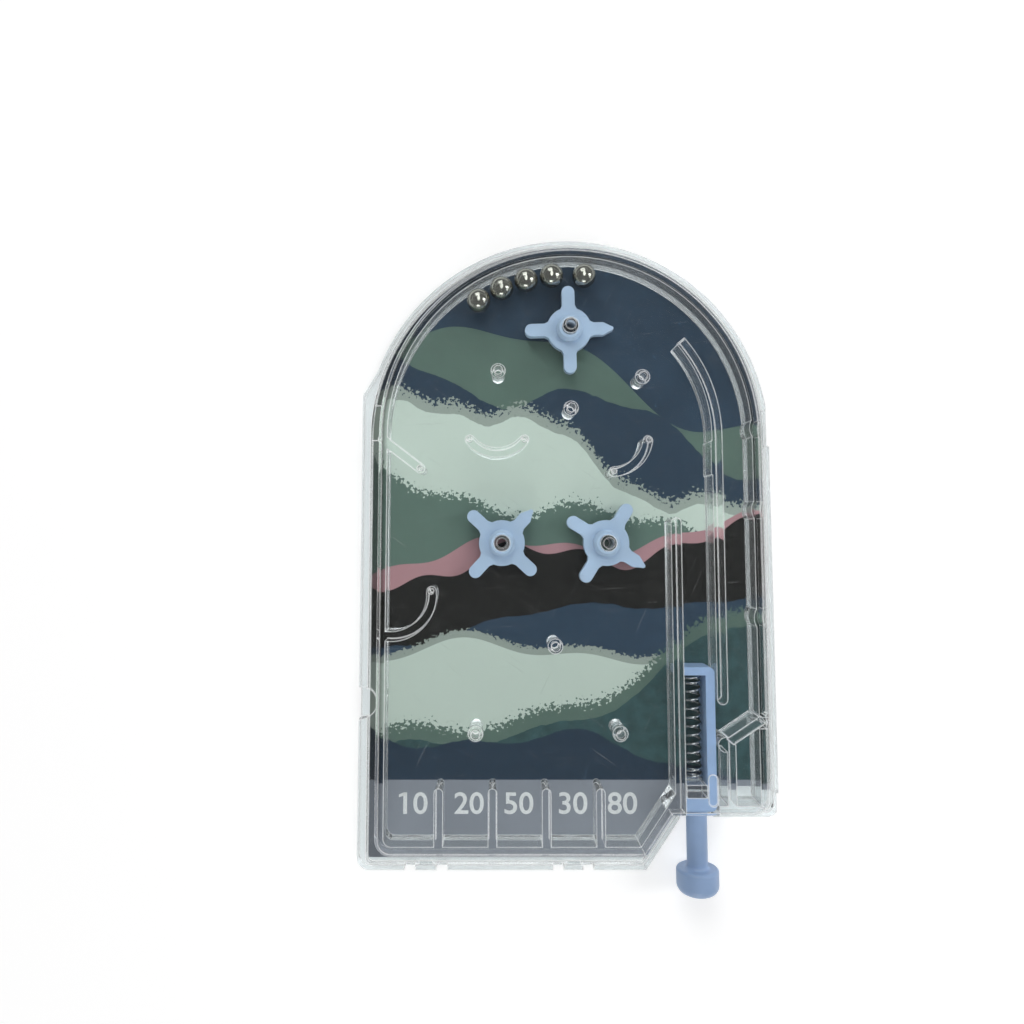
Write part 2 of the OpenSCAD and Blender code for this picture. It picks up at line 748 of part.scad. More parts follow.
module plunger_spring() {
  echo(least_gap_in_spring = wire_gap(wire_path));
  color([0.62, 0.63, 0.65])
    translate([spring_x, spring_top, rod_z]) mirror([0, 1, 0]) wire();
}

back_case();
printed_card();
front_cover();
spinner_top();
spinner_left();
spinner_right();
ball_1();
ball_2();
ball_3();
ball_4();
ball_5();
plunger();
plunger_spring();
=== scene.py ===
"""A handheld pinball game: finishes for its clear case, printed card, spinners and plunger, with
new surfaces for the steel balls, the spring and the score numbers. Lengths are in metres."""

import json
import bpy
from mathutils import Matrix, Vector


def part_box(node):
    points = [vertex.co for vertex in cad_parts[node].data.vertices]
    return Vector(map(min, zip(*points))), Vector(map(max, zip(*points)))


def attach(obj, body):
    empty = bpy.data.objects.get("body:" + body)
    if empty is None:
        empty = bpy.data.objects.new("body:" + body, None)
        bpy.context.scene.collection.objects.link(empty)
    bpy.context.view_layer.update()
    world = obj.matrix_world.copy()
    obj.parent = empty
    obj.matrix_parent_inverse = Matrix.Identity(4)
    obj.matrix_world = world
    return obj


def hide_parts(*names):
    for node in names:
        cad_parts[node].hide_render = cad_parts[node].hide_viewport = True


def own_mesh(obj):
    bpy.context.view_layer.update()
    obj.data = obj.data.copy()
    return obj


bl_info = {
    "name": "Handheld Pinball Game",
    "version": (1, 0, 0),
    "blender": (4, 5, 0),
    "location": "View3D > Sidebar > Pinball",
    "description": "Dresses a pocket pinball game with a clear case, and sets its studio",
    "category": "Object",
}

import bpy
import numpy as np
from mathutils import Vector

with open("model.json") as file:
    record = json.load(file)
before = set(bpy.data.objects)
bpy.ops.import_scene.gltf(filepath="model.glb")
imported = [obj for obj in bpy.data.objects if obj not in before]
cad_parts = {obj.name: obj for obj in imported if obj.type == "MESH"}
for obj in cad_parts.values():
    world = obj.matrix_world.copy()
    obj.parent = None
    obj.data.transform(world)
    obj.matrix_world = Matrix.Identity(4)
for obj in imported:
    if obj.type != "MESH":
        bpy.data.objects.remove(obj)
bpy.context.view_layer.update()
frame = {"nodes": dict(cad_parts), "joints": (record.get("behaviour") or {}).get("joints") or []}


def span(node):
    """The lowest and highest corner of a node, as two arrays."""
    low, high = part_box(node)
    return np.array(low), np.array(high)


CARD_TOP = span("printed_card")[1][2]
SPRING_LOW, SPRING_HIGH = span("plunger_spring")
PULL = next(j for j in frame["joints"] if j["name"] == "plunger_slide")["range_m"][1]

WHITE = (1.0, 1.0, 1.0)
PLASTIC_IOR = 1.49
CARD_IOR = 1.45

# Share of diffuse white in the white shader of the case's painted edge highlight, painted side
# reflection and scratches. The rest lets light through.
MATT_SHARE = 0.8

# The score numbers, each with the X of its middle in millimetres.
SCORES = (("10", -28.1), ("20", -18.3), ("50", -9.2), ("30", 0.7), ("80", 9.7))
SCORE_LINE_Y = -0.06705
NUMBER_STRETCH = 1.04
NUMBER_WEIGHT = 0.012
INK_HALF_THICKNESS = 0.000008
INK_LIFT = 0.000010
# Corners of the flag of the figure 1, from that figure's upper left corner.
FLAG = ((0.0002, 0), (-0.0008, -0.0004), (-0.0008, -0.0009), (0.0002, -0.0006))

# The spring's wire and turns. Some turns at each end lie close together.
WIRE = 0.0004
TURNS = 13
CLOSE_TURNS = 1.5
CLOSE_PITCH = 0.0009

FLOOR_HALF_SIDE = 3.0
FLOOR_Z = -0.0004
FLOOR_GLOW = 0.36
FAR_GLOW = 0.8
LAMP_TARGET = (0, -0.02, 0)
SENSOR_MM = 36.0
FRAME_PIXELS = 1024
SHIFT_PIXELS = (15, -39)


class CaseFinish(bpy.types.PropertyGroup):
    """The clear plastic of both halves of the case."""

    tint: bpy.props.FloatVectorProperty(
        name="Tint", description="Colour that the clear plastic gives to light", subtype="COLOR",
        default=(0.87, 0.895, 0.90), min=0, max=1)
    # Painted reflection: how much white is mixed onto the upright faces.
    painted_side_reflection: bpy.props.FloatProperty(
        name="Painted side reflection", description="How white the upright faces look",
        default=0.04, min=0, max=1)
    scratches: bpy.props.FloatProperty(
        name="Scratches", description="Strength of the fine scratches on the window",
        default=0.06, min=0, max=1)
    roughness: bpy.props.FloatProperty(
        name="Roughness", description="Roughness of the polished plastic",
        default=0.02, min=0, max=1)
    # This radius sets how wide the painted edge highlight is; it does not round the mesh.
    edge: bpy.props.FloatProperty(
        name="Edge radius", description="Rounding of the moulded edges",
        default=0.00034, min=0, max=0.001, unit="LENGTH", precision=5)
    # Painted highlight: how much white is mixed onto the moulded edges.
    painted_edge_highlight: bpy.props.FloatProperty(
        name="Painted edge highlight", description="How white the moulded edges look",
        default=1.0, min=0, max=1)


class CardPrint(bpy.types.PropertyGroup):
    """Inks of the printed card, from its sky down to its score strip."""

    navy: bpy.props.FloatVectorProperty(
        name="Navy", description="Ink of the sky, the ridge, the lake and the front hill",
        subtype="COLOR", default=(0.018, 0.036, 0.060), min=0, max=1)
    slate_green: bpy.props.FloatVectorProperty(
        name="Slate green", description="Ink of the far hills and the woods",
        subtype="COLOR", default=(0.085, 0.135, 0.112), min=0, max=1)
    deep_green: bpy.props.FloatVectorProperty(
        name="Deep green", description="Ink of the near hill",
        subtype="COLOR", default=(0.028, 0.062, 0.065), min=0, max=1)
    mint: bpy.props.FloatVectorProperty(
        name="Mint", description="Ink of the pale slopes",
        subtype="COLOR", default=(0.58, 0.68, 0.605), min=0, max=1)
    black: bpy.props.FloatVectorProperty(
        name="Black", description="Ink of the dark peaks, and of the shade under the walls",
        subtype="COLOR", default=(0.007, 0.007, 0.006), min=0, max=1)
    pink: bpy.props.FloatVectorProperty(
        name="Dusty pink", description="Ink of the band of dusk",
        subtype="COLOR", default=(0.46, 0.26, 0.28), min=0, max=1)
    strip: bpy.props.FloatVectorProperty(
        name="Score strip", description="Ink behind the score numbers",
        subtype="COLOR", default=(0.225, 0.245, 0.28), min=0, max=1)
    board: bpy.props.FloatVectorProperty(
        name="Board", description="Bare board on the card's back and edges",
        subtype="COLOR", default=(0.68, 0.67, 0.64), min=0, max=1)
    numbers: bpy.props.FloatVectorProperty(
        name="Numbers", description="Ink of the score numbers",
        subtype="COLOR", default=(0.74, 0.76, 0.76), min=0, max=1)
    number_height: bpy.props.FloatProperty(
        name="Number height", description="Height of the score numbers",
        default=0.0039, min=0.001, max=0.008, unit="LENGTH", precision=4)
    shaded_from: bpy.props.FloatProperty(
        name="Shaded from",
        description="Distance from the arch centre beyond which the case's walls shade the card",
        default=0.0336, min=0.02, max=0.05, unit="LENGTH", precision=4)
    strip_edge: bpy.props.FloatProperty(
        name="Strip edge", description="Where the score strip begins, from the arch centre",
        default=-0.0629, unit="LENGTH", precision=4)


class MovingFinish(bpy.types.PropertyGroup):
    """Colours of the moving pieces."""

    spinner: bpy.props.FloatVectorProperty(
        name="Spinner", description="Plastic of the spinners",
        subtype="COLOR", default=(0.41, 0.54, 0.71), min=0, max=1)
    plunger: bpy.props.FloatVectorProperty(
        name="Plunger", description="Plastic of the plunger",
        subtype="COLOR", default=(0.31, 0.44, 0.67), min=0, max=1)
    ball: bpy.props.FloatVectorProperty(
        name="Ball", description="Steel of the balls",
        subtype="COLOR", default=(0.45, 0.44, 0.39), min=0, max=1)
    spring: bpy.props.FloatVectorProperty(
        name="Spring", description="Steel of the spring",
        subtype="COLOR", default=(0.52, 0.53, 0.54), min=0, max=1)


class StageSettings(bpy.types.PropertyGroup):
    """The lamps and the camera."""

    camera_place: bpy.props.FloatVectorProperty(
        name="Camera", description="Where the camera stands", subtype="XYZ", unit="LENGTH",
        default=(-0.0132, -0.0182, 0.1501))
    camera_tilt: bpy.props.FloatProperty(
        name="Tilt", description="Lean of the camera towards the arch", subtype="ANGLE",
        default=float(np.radians(4.5)))
    lens: bpy.props.FloatProperty(
        name="Lens", description="Focal length on a 36 mm sensor", default=27.6, min=5, max=200)
    lamp_power: bpy.props.FloatProperty(
        name="Lamp power", description="Power of the main lamp in watts", default=2.45, min=0)


class Ink:
    """Builds arithmetic on shader sockets, so that a pattern reads like its formula."""

    def __init__(self, tree, socket):
        self.tree, self.socket = tree, socket

    def _math(self, kind, *values):
        node = self.tree.nodes.new("ShaderNodeMath")
        node.operation = kind
        for i, value in enumerate(values):
            if isinstance(value, Ink):
                value.to(node.inputs[i])
            else:
                node.inputs[i].default_value = value
        return Ink(self.tree, node.outputs[0])

    def __add__(self, other):
        return self._math("ADD", self, other)

    def __sub__(self, other):
        return self._math("SUBTRACT", self, other)

    def __mul__(self, other):
        return self._math("MULTIPLY", self, other)

    def sin(self):
        return self._math("SINE", self)

    def power(self, exponent):
        return self._math("POWER", self, exponent)

    def least(self, other):
        return self._math("MINIMUM", self, other)

    def most(self, other):
        return self._math("MAXIMUM", self, other)

    def flipped(self):
        """1 less this value."""
        return self * -1.0 + 1.0

    def ramp(self, low, high):
        """0 below low, 1 above high, and a straight line between them."""
        node = self.tree.nodes.new("ShaderNodeMapRange")
        node.inputs["From Min"].default_value = low
        node.inputs["From Max"].default_value = high
        self.to(node.inputs["Value"])
        return Ink(self.tree, node.outputs[0])

    def to(self, socket):
        """Feeds an input of a node."""
        self.tree.links.new(self.socket, socket)


def blank_material(name):
    """A material with nothing but its output and one Principled shader."""
    material = bpy.data.materials.new(name)
    material.use_nodes = True
    tree = material.node_tree
    tree.nodes.clear()
    out = tree.nodes.new("ShaderNodeOutputMaterial")
    shader = tree.nodes.new("ShaderNodeBsdfPrincipled")
    tree.links.new(shader.outputs[0], out.inputs["Surface"])
    return material, tree, shader, out


def split_axes(tree, socket):
    """The X, Y and Z of a vector."""
    split = tree.nodes.new("ShaderNodeSeparateXYZ")
    tree.links.new(socket, split.inputs[0])
    return [Ink(tree, split.outputs[i]) for i in range(3)]


def place_socket(tree):
    """Object coordinates, which are metres from the arch centre."""
    return tree.nodes.new("ShaderNodeTexCoord").outputs["Object"]


def noise(tree, scale, detail=2.0, roughness=0.5, stretch=(1, 1, 1), turn=0.0):
    """Soft noise of about 0 to 1, on Object coordinates, turned about Z and then stretched along
    any axis."""
    place = place_socket(tree)
    if turn:
        turned = tree.nodes.new("ShaderNodeMapping")
        turned.inputs["Rotation"].default_value = (0, 0, turn)
        tree.links.new(place, turned.inputs["Vector"])
        place = turned.outputs[0]
    mapping = tree.nodes.new("ShaderNodeMapping")
    mapping.inputs["Scale"].default_value = stretch
    tree.links.new(place, mapping.inputs["Vector"])
    node = tree.nodes.new("ShaderNodeTexNoise")
    node.inputs["Scale"].default_value = scale
    node.inputs["Detail"].default_value = detail
    node.inputs["Roughness"].default_value = roughness
    tree.links.new(mapping.outputs[0], node.inputs["Vector"])
    return Ink(tree, node.outputs[0])


def mix(tree, factor, below, above):
    """Colour above where the factor is 1, colour below where it is 0."""
    node = tree.nodes.new("ShaderNodeMix")
    node.data_type = "RGBA"
    factor.to(node.inputs[0])
    for slot, colour in ((6, below), (7, above)):
        if isinstance(colour, Ink):
            colour.to(node.inputs[slot])
        else:
            node.inputs[slot].default_value = (*colour, 1.0)
    return Ink(tree, node.outputs[2])


def blend(tree, factor, below, above):
    """Shader above where the factor is 1, shader below where it is 0."""
    node = tree.nodes.new("ShaderNodeMixShader")
    if isinstance(factor, Ink):
        factor.to(node.inputs[0])
    else:
        node.inputs[0].default_value = factor
    tree.links.new(below, node.inputs[1])
    tree.links.new(above, node.inputs[2])
    return node.outputs[0]


def plain_shader(tree, kind, colour):
    """A shader of one colour."""
    node = tree.nodes.new(kind)
    node.inputs[0].default_value = (*colour, 1.0)
    return node.outputs[0]


def shade(colour, factor):
    """A colour made lighter or darker."""
    return tuple(min(1.0, c * factor) for c in colour)


def bump(tree, height, shader, strength, distance):
    """Drives a shader's normal from a height."""
    node = tree.nodes.new("ShaderNodeBump")
    node.inputs["Strength"].default_value = strength
    node.inputs["Distance"].default_value = distance
    height.to(node.inputs["Height"])
    tree.links.new(node.outputs[0], shader.inputs["Normal"])


def edge_mask(tree, radius):
    """1 on a sharp edge and 0 away from it: how far the normal, averaged over the radius, turns
    from the true one."""
    soft = tree.nodes.new("ShaderNodeBevel")
    soft.samples = 4
    soft.inputs["Radius"].default_value = radius
    true = tree.nodes.new("ShaderNodeNewGeometry")
    dot = tree.nodes.new("ShaderNodeVectorMath")
    dot.operation = "DOT_PRODUCT"
    tree.links.new(soft.outputs[0], dot.inputs[0])
    tree.links.new(true.outputs["True Normal"], dot.inputs[1])
    return Ink(tree, dot.outputs["Value"]).flipped().ramp(0.012, 0.05)


def upward(tree):
    """The Z of the true normal: 1 on a face that looks up, and -1 on one that looks down."""
    true = tree.nodes.new("ShaderNodeNewGeometry")
    return split_axes(tree, true.outputs["True Normal"])[2]


def side_mask(tree):
    """1 on upright faces and 0 on level ones, from 1 less the square of the normal's Z."""
    level = upward(tree)
    return (level * level).flipped().ramp(0.3, 1.0)


def hairlines(tree, scale, turn):
    """Thin marks where noise, stretched along a line that leans from the Y axis by the turn, stands
    above its crest."""
    return noise(tree, scale, stretch=(8.0, 0.25, 1.0), turn=turn).ramp(0.69, 0.75)


def clear_plastic(name, finish, depth, scratched):
    """Clear moulded plastic that lets lamps through, with a painted highlight of white on its
    edges, a faint painted reflection of white on its upright faces, and hairline scratches where it
    is handled. Its tint is raised to the power of its depth."""
    material, tree, shader, out = blank_material(name)
    shader.inputs["Base Color"].default_value = (*[c ** depth for c in finish.tint], 1.0)
    shader.inputs["Transmission Weight"].default_value = 1.0
    shader.inputs["IOR"].default_value = PLASTIC_IOR
    soft = noise(tree, 90.0, 3.0)
    haze = soft.ramp(0.45, 0.8) * 0.05 + finish.roughness
    # Painted highlight: white mixed onto sharp edges.
    edges = edge_mask(tree, finish.edge) * finish.painted_edge_highlight
    # Painted reflection: a little white on upright faces, joined to the painted edge highlight.
    white = edges.most(side_mask(tree) * finish.painted_side_reflection)
    if scratched:
        marks = hairlines(tree, 420.0, 0.45).most(hairlines(tree, 380.0, -0.95))
        marks = marks.most(hairlines(tree, 400.0, 1.5))
        haze = haze + marks * (0.25 * finish.scratches)
        white = white.most(marks * finish.scratches)
        bump(tree, marks * -1.0 + soft * 0.2, shader, 0.05, 0.00002)
    else:
        bump(tree, soft, shader, 0.05, 0.00005)
    haze.to(shader.inputs["Roughness"])
    # White shader for the painted highlights on edges and upright faces, and for the scratches.
    scratch_whitening_and_highlight = blend(
        tree, MATT_SHARE,
        plain_shader(tree, "ShaderNodeBsdfTranslucent", WHITE),
        plain_shader(tree, "ShaderNodeBsdfDiffuse", WHITE))
    edged = blend(tree, white, shader.outputs[0], scratch_whitening_and_highlight)
    film = plain_shader(tree, "ShaderNodeBsdfTransparent", [0.9 + 0.1 * c for c in finish.tint])
    path = tree.nodes.new("ShaderNodeLightPath")
    whole = blend(tree, Ink(tree, path.outputs["Is Shadow Ray"]), edged, film)
    tree.links.new(whole, out.inputs["Surface"])
    return material


def moulded_plastic(name, colour, roughness):
    """Satin moulded plastic: faint flow clouds in its colour, and a fine grain."""
    material, tree, shader, _ = blank_material(name)
    clouds = noise(tree, 160.0, 3.0, 0.55).ramp(0.3, 0.7)
    mix(tree, clouds, shade(colour, 0.93), shade(colour, 1.07)).to(shader.inputs["Base Color"])
    grain = noise(tree, 5200.0, 2.0, 0.6)
    (grain * 0.1 + roughness).to(shader.inputs["Roughness"])
    shader.inputs["IOR"].default_value = PLASTIC_IOR
    shader.inputs["Subsurface Weight"].default_value = 0.12
    shader.inputs["Subsurface Scale"].default_value = 0.0008
    shader.inputs["Subsurface Radius"].default_value = (0.6, 0.8, 1.0)
    bump(tree, grain, shader, 0.12, 0.00002)
    return material


def steel(name, colour, roughness, wear):
    """Bright steel with small rub marks that change its roughness and darken it a little."""
    material, tree, shader, _ = blank_material(name)
    rub = noise(tree, 900.0, 3.0, 0.6).ramp(0.4, 0.75)
    mix(tree, rub, colour, shade(colour, 0.8)).to(shader.inputs["Base Color"])
    shader.inputs["Metallic"].default_value = 1.0
    (rub * wear + roughness).to(shader.inputs["Roughness"])
    return material


def layer_mask(x, y, level, tilt, waves, rough):
    """1 below a wavy skyline and 0 above it. The skyline is level plus tilt * x, plus a sum of
    size * sin(rate * x + shift), and rough adds a broken edge."""
    line = x * tilt + level
    for size, rate, shift in waves:
        line = line + (x * rate + shift).sin() * size
    return (line - y + rough).ramp(-0.06, 0.06)


def printed_hills(inks):
    """The card's print: a night sky over layered hills with pale slopes, a band of dusk over dark
    peaks, a lake, near slopes and a score strip. Each layer covers the ones before it, below its
    own skyline. Beyond the line of the case's walls, black is mixed in as painted shade, less on
    the strip. The print is on the face that looks up, and the back and edges are bare board."""
    material, tree, shader, _ = blank_material("Printed_Card")
    x, y = [axis * 1000.0 for axis in split_axes(tree, place_socket(tree))[:2]]
    flecks = noise(tree, 1500.0, 2.0, 0.6)
    blotch = noise(tree, 420.0, 3.0, 0.6)
    cloud = noise(tree, 60.0, 3.0)
    clean = 0.0
    spray = (flecks - 0.5) * 8.0
    crumb = (blotch - 0.5) * 1.0

    haze = mix(tree, cloud.ramp(0.3, 0.75), inks.navy, shade(inks.navy, 1.7))
    colour = mix(tree, (flecks * blotch).ramp(0.36, 0.5), haze, shade(inks.navy, 2.6))
    far_green = mix(tree, cloud.ramp(0.3, 0.8), inks.slate_green, shade(inks.slate_green, 1.35))
    mint = mix(tree, (y + cloud * 10.0).ramp(-60.0, 8.0), shade(inks.mint, 0.82), inks.mint)
    near_green = mix(tree, blotch.ramp(0.35, 0.75), inks.deep_green, shade(inks.deep_green, 1.6))

    # Waves of each skyline: size in millimetres, rate in radians per millimetre, and shift.
    far = ((6.0, 0.085, 2.3), (1.8, 0.21, 0.4))
    ridge = ((4.0, 0.12, 0.5), (1.2, 0.31, 1.9))
    pale = ((3.6, 0.10, 2.6), (1.8, 0.21, 2.0), (0.7, 0.55, 0.3))
    wood = ((2.6, 0.11, 0.3), (1.2, 0.31, 1.2))
    dusk = ((2.2, 0.13, 3.4), (0.9, 0.37, 1.2))
    peaks = ((2.6, 0.15, 2.9), (1.3, 0.41, 0.2))
    shore = ((1.6, 0.11, 1.9), (0.5, 0.33, 0.2))
    near = ((2.4, 0.10, 3.6), (1.0, 0.27, 0.6))
    green = ((3.6, 0.09, 4.7), (1.4, 0.23, 2.6))
    front = ((2.4, 0.12, 1.4), (1.0, 0.29, 0.9))
    # Layers from the back to the front: level in millimetres, tilt, waves, broken edge, and ink.
    layers = (
        (13.0, -0.20, far, clean, far_green),
        (6.5, -0.30, ridge, crumb, shade(inks.navy, 1.25)),
        (-1.0, -0.32, pale, spray, shade(inks.mint, 0.55)),
        (-3.3, -0.32, pale, crumb, mint),
        (-14.0, -0.22, wood, spray, shade(inks.slate_green, 1.3)),
        (-20.0, 0.10, dusk, clean, shade(inks.pink, 0.9)),
        (-22.0, 0.10, peaks, clean, inks.black),
        (-33.0, 0.14, shore, crumb, shade(inks.navy, 1.4)),
        (-38.2, 0.05, near, spray * 0.4, shade(inks.mint, 0.5)),
        (-39.6, 0.05, near, clean, mint),
        (-46.5, 0.36, green, spray, shade(inks.slate_green, 1.1)),
        (-49.5, 0.36, green, crumb, near_green),
        (-57.0, -0.10, front, crumb, inks.navy),
    )
    for level, tilt, waves, rough, ink in layers:
        colour = mix(tree, layer_mask(x, y, level, tilt, waves, rough), colour, ink)

    edge = -inks.strip_edge * 1000
    strip = (y * -1.0).ramp(edge - 0.04, edge + 0.04)
    strip_ink = mix(tree, cloud.ramp(0.2, 0.8), shade(inks.strip, 0.9), shade(inks.strip, 1.1))
    colour = mix(tree, strip, colour, strip_ink)

    # The walls' painted shade begins at one distance from the arch centre, and below it from the
    # middle line.
    up = y.most(0.0)
    reach = (x * x + up * up).power(0.5)
    rim = inks.shaded_from * 1000
    colour = mix(tree, reach.ramp(rim, rim + 1.0) * (strip * -0.3 + 0.72), colour, inks.black)

    mix(tree, upward(tree).ramp(0.4, 0.6), inks.board, colour).to(shader.inputs["Base Color"])
    fibre = noise(tree, 3600.0, 3.0, 0.7, (1.0, 0.35, 1.0))
    (fibre * 0.16 + 0.42).to(shader.inputs["Roughness"])
    shader.inputs["IOR"].default_value = CARD_IOR
    shader.inputs["Specular IOR Level"].default_value = 0.2
    bump(tree, fibre, shader, 0.1, 0.00002)
    return material


def number_ink(inks):
    """Pale ink of the score numbers, a little worn."""
    material, tree, shader, _ = blank_material("Number_Ink")
    wear = noise(tree, 2600.0, 3.0, 0.6).ramp(0.35, 0.7)
    mix(tree, wear, shade(inks.numbers, 0.86), inks.numbers).to(shader.inputs["Base Color"])
    shader.inputs["Roughness"].default_value = 0.5
    return material


def riding_piece(name, mesh, material, body):
    """Puts a mesh in an object of its own that rides on a body."""
    mesh.materials.clear()
    mesh.materials.append(material)
    piece = bpy.data.objects.new(name, mesh)
    bpy.context.scene.collection.objects.link(piece)
    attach(piece, body)
    return piece


def new_piece(name, points, faces, material, body, slot, smooth=True):
    """Puts whole arrays of points and faces into a mesh object that rides on a body."""
    mesh = bpy.data.meshes.new(name)
    mesh.from_pydata(points.reshape(-1, 3).tolist(), [], faces)
    mesh.update()
    mesh.validate()
    if smooth:
        mesh.polygons.foreach_set("use_smooth", np.ones(len(mesh.polygons), bool))
    return riding_piece(name, mesh, material, body)


def wrapped_quads(rows, columns):
    """Four-sided faces of a grid whose columns close round on themselves."""
    i, j = np.meshgrid(np.arange(rows - 1), np.arange(columns), indexing="ij")
    k = (j + 1) % columns
    corners = [i * columns + j, i * columns + k, (i + 1) * columns + k, (i + 1) * columns + j]
    return np.stack(corners, -1).reshape(-1, 4)


def ball_surface(centre, radius, rows=49, columns=96):
    """A sphere by latitude a and longitude b: centre + radius * (cos a cos b, cos a sin b, sin a),
    with both poles closed by a fan."""
    a = np.linspace(-np.pi / 2, np.pi / 2, rows)[1:-1, None]
    b = np.linspace(0, 2 * np.pi, columns, endpoint=False)[None, :]
    grid = np.stack([np.cos(a) * np.cos(b), np.cos(a) * np.sin(b), np.sin(a) + 0 * b], -1)
    points = np.vstack([grid.reshape(-1, 3), [[0, 0, -1], [0, 0, 1]]]) * radius + centre
    faces = wrapped_quads(rows - 2, columns).tolist()
    j = np.arange(columns)
    k = (j + 1) % columns
    last = (rows - 3) * columns
    faces += np.stack([0 * j + len(points) - 2, k, j], -1).tolist()
    faces += np.stack([0 * j + len(points) - 1, last + j, last + k], -1).tolist()
    return points, faces


def unit(vectors):
    """Vectors divided by their own lengths."""
    return vectors / np.linalg.norm(vectors, axis=1, keepdims=True)


def coil_surface(top, length, centre, coil_radius, steps=28, sides=14):
    """A tube of half the wire's width round a path. The path is coil_radius * (cos t, sin t) about
    the spring's axis while it goes down by a pitch a turn, close at both ends and wide between
    them, with straight ends one wire long. The tube is path + wire / 2 * (cos s * up +
    sin s * side), where up and side stand square to the path."""
    t = np.linspace(0, TURNS, int(TURNS * steps) + 1)
    body = length - 2 * WIRE
    wide = (body - 2 * CLOSE_TURNS * CLOSE_PITCH) / (TURNS - 2 * CLOSE_TURNS)
    middle = CLOSE_TURNS * CLOSE_PITCH + (t - CLOSE_TURNS) * wide
    foot = body - (TURNS - t) * CLOSE_PITCH
    drop = np.where(t > TURNS - CLOSE_TURNS, foot, middle)
    drop = np.where(t < CLOSE_TURNS, t * CLOSE_PITCH, drop)
    angle = 2 * np.pi * t
    path = np.stack([np.cos(angle) * coil_radius, -WIRE - drop, np.sin(angle) * coil_radius], -1)
    first, last = path[0] * (1, 0, 1), path[-1] * (1, 0, 1)
    path = np.vstack([first, path, last - (0, length, 0)])
    ahead = np.gradient(path, axis=0)
    ahead[[0, -1]] = (0, -1, 0)
    ahead = unit(ahead)
    side = unit(np.cross(ahead, unit(path * (1, 0, 1))))
    up = np.cross(side, ahead)
    s = np.linspace(0, 2 * np.pi, sides, endpoint=False)[None, :, None]
    rings = path[:, None] + WIRE / 2 * (np.cos(s) * up[:, None] + np.sin(s) * side[:, None])
    points = rings.reshape(-1, 3) + (centre[0], top, centre[2])
    rows = len(path)
    faces = wrapped_quads(rows, sides)[:, ::-1].tolist()
    faces += [list(range(sides)), [(rows - 1) * sides + k for k in range(sides)][::-1]]
    return points, faces


def number_mesh(context, score):
    """A number in Blender's own letters as a mesh with some thickness, and its points about their
    middle."""
    curve = bpy.data.curves.new("Score_" + score, "FONT")
    curve.body = score
    curve.align_x = "CENTER"
    curve.align_y = "CENTER"
    curve.offset = NUMBER_WEIGHT
    curve.extrude = 0.002
    curve.resolution_u = 8
    holder = bpy.data.objects.new("Score_Curve", curve)
    context.scene.collection.objects.link(holder)
    context.view_layer.update()
    finished = holder.evaluated_get(context.evaluated_depsgraph_get())
    mesh = bpy.data.meshes.new_from_object(finished)
    bpy.data.objects.remove(holder)
    points = np.zeros(len(mesh.vertices) * 3)
    mesh.vertices.foreach_get("co", points)
    points = points.reshape(-1, 3)
    return mesh, points - (points.min(0) + points.max(0)) / 2


def flag_surface(figure):
    """The slanted flag at the upper left of the figure 1: a flat prism on the FLAG corners, as
    thick as the figure's own points."""
    outline = np.array(FLAG) + (figure[:, 0].min(), figure[:, 1].max())
    levels = (figure[:, 2].min(), figure[:, 2].max())
    points = np.vstack([np.column_stack([outline, np.full(4, level)]) for level in levels])
    faces = [(0, 1, 2, 3), (7, 6, 5, 4), (1, 0, 4, 5), (2, 1, 5, 6), (3, 2, 6, 7), (0, 3, 7, 4)]
    return points, faces


def finish_node(node, material):
    """Gives a node of the frame its material."""
    for holder in frame["nodes"][node].material_slots:
        holder.material = material


def white_floor(scene):
    """A plain floor that takes the game's shadow, and looks white to the camera, in glass and in
    metal. Its glow grows with the distance from the game, where the lamps light it less."""
    material, tree, shader, out = blank_material("White_Floor")
    cloud = noise(tree, 4.0, 2.0)
    mix(tree, cloud, shade(WHITE, 0.88), shade(WHITE, 0.90)).to(shader.inputs["Base Color"])
    shader.inputs["Roughness"].default_value = 0.9
    path = tree.nodes.new("ShaderNodeLightPath")
    camera, glass, metal = (
        Ink(tree, path.outputs[name])
        for name in ("Is Camera Ray", "Is Transmission Ray", "Is Glossy Ray"))
    glow = tree.nodes.new("ShaderNodeEmission")
    x, y, _ = split_axes(tree, place_socket(tree))
    far = (x * x + y * y).power(0.5).ramp(0.3, 1.2)
    (camera.most(glass).most(metal) * (far * FAR_GLOW + FLOOR_GLOW)).to(glow.inputs["Strength"])
    both = tree.nodes.new("ShaderNodeAddShader")
    tree.links.new(shader.outputs[0], both.inputs[0])
    tree.links.new(glow.outputs[0], both.inputs[1])
    tree.links.new(both.outputs[0], out.inputs["Surface"])
    corners = [(-1, -1), (1, -1), (1, 1), (-1, 1)]
    mesh = bpy.data.meshes.new("Floor")
    mesh.from_pydata([(x * FLOOR_HALF_SIDE, y * FLOOR_HALF_SIDE, FLOOR_Z) for x, y in corners],
                     [], [(0, 1, 2, 3)])
    mesh.materials.append(material)
    floor = bpy.data.objects.new("Floor", mesh)
    scene.collection.objects.link(floor)


def area_lamp(scene, name, place, width, length, power):
    """A soft lamp that looks at the game. Across its pane, u and v go from 0 to 1, and its light
    fades towards each rim as u * (1 - u) and v * (1 - v) fall below 0.16."""
    light = bpy.data.lights.new(name, "AREA")
    light.shape = "RECTANGLE"
    light.size = width
    light.size_y = length
    light.energy = power
    light.use_nodes = True
    tree = light.node_tree
    pane = tree.nodes.new("ShaderNodeNewGeometry").outputs["Parametric"]
    u, v = [(axis.flipped() * axis).ramp(0.0, 0.16) for axis in split_axes(tree, pane)[:2]]
    (u * v * 1.5).to(tree.nodes["Emission"].inputs["Strength"])
    lamp = bpy.data.objects.new(name, light)
    scene.collection.objects.link(lamp)
    lamp.location = place
    gaze = Vector(LAMP_TARGET) - Vector(place)
    lamp.rotation_euler = gaze.to_track_quat("-Z", "Y").to_euler()


